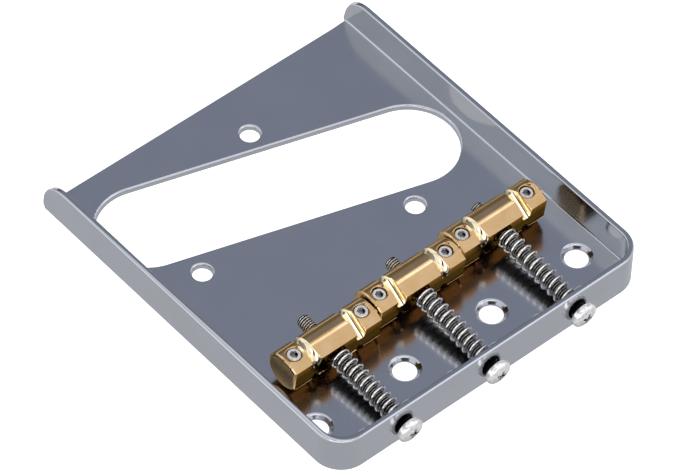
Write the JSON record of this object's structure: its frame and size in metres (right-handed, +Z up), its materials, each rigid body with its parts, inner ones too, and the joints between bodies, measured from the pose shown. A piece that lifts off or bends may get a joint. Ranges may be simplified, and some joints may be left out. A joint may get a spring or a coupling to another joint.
{
  "type": "guitar bridge",
  "caption": "Guitar bridge: pressed chrome tray with side walls, a slanted pickup opening, and brass barrel saddles on sprung intonation screws.",
  "frame": {"origin": "middle of the row of body screw holes, on the underside of the plate", "axes": "+Y towards the neck along the strings, +X towards the treble side, +Z up off the guitar body"},
  "size_m": [0.0766, 0.0883, 0.01],
  "materials": {
    "plate_chrome": "mirror polish, plated",
    "saddle_brass": "turned and lightly polished, bare",
    "screw_nickel": "polished, nickel-plated",
    "spring_steel": "bright drawn wire"
  },
  "bodies": {
    "plate": {"base_plate": "plate_chrome"},
    "bass_spring_and_pivot": {"bass_spring": "spring_steel"},
    "bass_screw": {"bass_intonation_screw": "screw_nickel"},
    "bass_saddle": {"bass_saddle": "saddle_brass"},
    "height_screw_1": {"height_screw_1": "screw_nickel"},
    "height_screw_2": {"height_screw_2": "screw_nickel"},
    "middle_spring_and_pivot": {"middle_spring": "spring_steel"},
    "middle_screw": {"middle_intonation_screw": "screw_nickel"},
    "middle_saddle": {"middle_saddle": "saddle_brass"},
    "height_screw_3": {"height_screw_3": "screw_nickel"},
    "height_screw_4": {"height_screw_4": "screw_nickel"},
    "treble_spring_and_pivot": {"treble_spring": "spring_steel"},
    "treble_screw": {"treble_intonation_screw": "screw_nickel"},
    "treble_saddle": {"treble_saddle": "saddle_brass"},
    "height_screw_5": {"height_screw_5": "screw_nickel"},
    "height_screw_6": {"height_screw_6": "screw_nickel"}
  },
  "joints": [
    {"name": "bass_tilt", "type": "hinge", "parent": "plate", "child": "bass_spring_and_pivot", "pos_m": [-0.0207, -0.0108, 0.00325], "axis": [1, 0, 0], "range_deg": [0, 4.5]},
    {"name": "bass_screw_turn", "type": "hinge", "parent": "bass_spring_and_pivot", "child": "bass_screw", "pos_m": [-0.0207, -0.0108, 0.00325], "axis": [0, 0.9948, 0.102], "range_deg": [-2160.1, 1584.1]},
    {"name": "bass_saddle_travel", "type": "slide", "parent": "bass_spring_and_pivot", "child": "bass_saddle", "axis": [0, 0.9948, 0.102], "range_m": [-0.0022, 0.003], "deforming": ["bass_spring"]},
    {"name": "height_screw_1_travel", "type": "slide", "parent": "bass_saddle", "child": "height_screw_1", "axis": [0, -0.102, 0.9948], "range_m": [-0.00156, 0]},
    {"name": "height_screw_2_travel", "type": "slide", "parent": "bass_saddle", "child": "height_screw_2", "axis": [0, -0.102, 0.9948], "range_m": [-0.00156, 0]},
    {"name": "middle_tilt", "type": "hinge", "parent": "plate", "child": "middle_spring_and_pivot", "pos_m": [0.0009, -0.0108, 0.00325], "axis": [1, 0, 0], "range_deg": [-0.8, 4.5]},
    {"name": "middle_screw_turn", "type": "hinge", "parent": "middle_spring_and_pivot", "child": "middle_screw", "pos_m": [0.0009, -0.0108, 0.00325], "axis": [0, 0.9928, 0.1195], "range_deg": [-2160.1, 1584.1]},
    {"name": "middle_saddle_travel", "type": "slide", "parent": "middle_spring_and_pivot", "child": "middle_saddle", "axis": [0, 0.9928, 0.1195], "range_m": [-0.0022, 0.003], "deforming": ["middle_spring"]},
    {"name": "height_screw_3_travel", "type": "slide", "parent": "middle_saddle", "child": "height_screw_3", "axis": [0, -0.1195, 0.9928], "range_m": [-0.00163, 0.00029]},
    {"name": "height_screw_4_travel", "type": "slide", "parent": "middle_saddle", "child": "height_screw_4", "axis": [0, -0.1195, 0.9928], "range_m": [-0.00163, 0.00029]},
    {"name": "treble_tilt", "type": "hinge", "parent": "plate", "child": "treble_spring_and_pivot", "pos_m": [0.0225, -0.0108, 0.00325], "axis": [1, 0, 0], "range_deg": [-0.6, 4.5]},
    {"name": "treble_screw_turn", "type": "hinge", "parent": "treble_spring_and_pivot", "child": "treble_screw", "pos_m": [0.0225, -0.0108, 0.00325], "axis": [0, 0.994, 0.1095], "range_deg": [-2160.1, 1584.1]},
    {"name": "treble_saddle_travel", "type": "slide", "parent": "treble_spring_and_pivot", "child": "treble_saddle", "axis": [0, 0.994, 0.1095], "range_m": [-0.0022, 0.003], "deforming": ["treble_spring"]},
    {"name": "height_screw_5_travel", "type": "slide", "parent": "treble_saddle", "child": "height_screw_5", "axis": [0, -0.1095, 0.994], "range_m": [-0.00171, 0.00023]},
    {"name": "height_screw_6_travel", "type": "slide", "parent": "treble_saddle", "child": "height_screw_6", "axis": [0, -0.1095, 0.994], "range_m": [-0.00171, 0.00023]}
  ],
  "couplings": [
    {"joint": "bass_screw_turn", "follows": "bass_saddle_travel", "rad_per_m": -12566},
    {"joint": "height_screw_1_travel", "follows": "bass_tilt", "m_per_rad": -0.019859},
    {"joint": "height_screw_2_travel", "follows": "bass_tilt", "m_per_rad": -0.019859},
    {"joint": "middle_screw_turn", "follows": "middle_saddle_travel", "rad_per_m": -12566},
    {"joint": "height_screw_3_travel", "follows": "middle_tilt", "m_per_rad": -0.020713},
    {"joint": "height_screw_4_travel", "follows": "middle_tilt", "m_per_rad": -0.020713},
    {"joint": "treble_screw_turn", "follows": "treble_saddle_travel", "rad_per_m": -12566},
    {"joint": "height_screw_5_travel", "follows": "treble_tilt", "m_per_rad": -0.021776},
    {"joint": "height_screw_6_travel", "follows": "treble_tilt", "m_per_rad": -0.021776}
  ]
}
